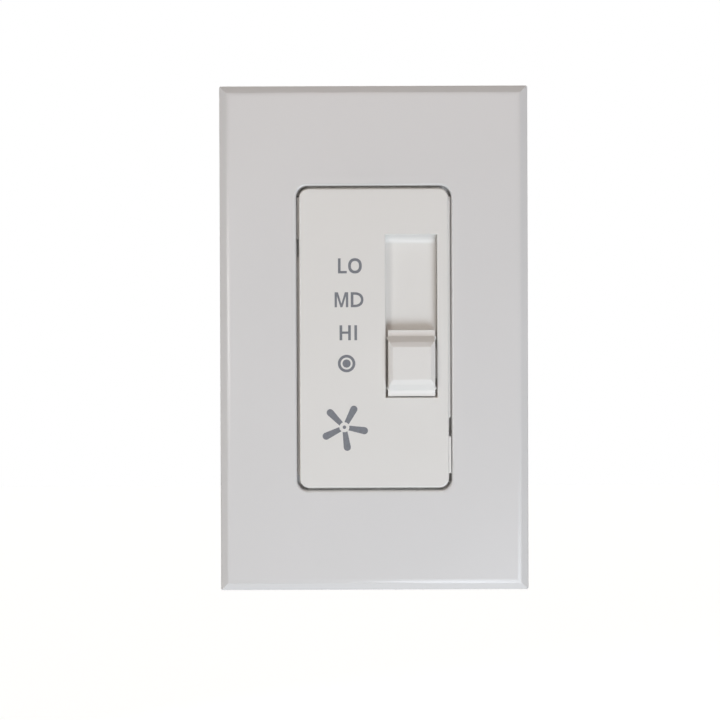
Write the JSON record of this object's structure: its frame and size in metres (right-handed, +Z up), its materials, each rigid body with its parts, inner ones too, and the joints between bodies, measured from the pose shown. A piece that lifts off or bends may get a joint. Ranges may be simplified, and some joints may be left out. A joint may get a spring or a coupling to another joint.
{
  "type": "fan speed control switch",
  "caption": "Wall-mounted slider control for fan speed: upright bevelled wallplate with a rectangular insert, a sliding knob in a recess, and a mounting yoke and housing behind.",
  "frame": {"origin": "middle of the wallplate in the plane of the wall, midway between the two wall box screws", "axes": "+Z up the wall along the wallplate's height and the knob's travel, +Y into the wall, +X to the right as seen from the front"},
  "size_m": [0.0698, 0.0363, 0.1142],
  "materials": {
    "plate_plastic": "satin white moulded plastic",
    "insert_plastic": "satin warm white moulded plastic",
    "knob_plastic": "satin warm white moulded plastic",
    "strap_steel": "zinc plated",
    "screw_steel": "zinc plated",
    "retainer_fibre": "vulcanised fibre",
    "ground_screw_green": "green dyed steel",
    "housing_plastic": "matt dark moulded plastic",
    "mechanism_plastic": "natural moulded plastic",
    "spring_bronze": "phosphor bronze",
    "contact_metal": "plated",
    "board_laminate": "solder resist",
    "capacitor_case": "moulded box",
    "resistor_coat": "lacquer",
    "fuse_body": "ceramic",
    "terminal_brass": "stamped"
  },
  "bodies": {
    "housing": {"wallplate": "plate_plastic", "subplate": "plate_plastic", "subplate_screws": "screw_steel", "face_frame": "insert_plastic", "slide_guide": "mechanism_plastic", "yoke": "strap_steel", "box_screws": "screw_steel", "screw_retainers": "retainer_fibre", "ground_screw": "ground_screw_green", "rear_housing": "housing_plastic", "housing_rivets": "screw_steel", "circuit_board": "board_laminate", "contact_pads": "contact_metal", "capacitor_large": "capacitor_case", "capacitor_small": "capacitor_case", "bleeder_resistors": "resistor_coat", "thermal_fuse": "fuse_body", "line_terminal": "terminal_brass", "load_terminal": "terminal_brass", "terminal_screws": "terminal_brass"},
    "slider": {"slider_knob": "knob_plastic", "slide_carriage": "mechanism_plastic", "wiper_contact": "spring_bronze", "detent_spring": "spring_bronze"}
  },
  "joints": [
    {"name": "speed_slide", "type": "slide", "parent": "housing", "child": "slider", "axis": [0, 0, 1], "range_m": [0, 0.02117], "deforming": ["detent_spring"]}
  ]
}
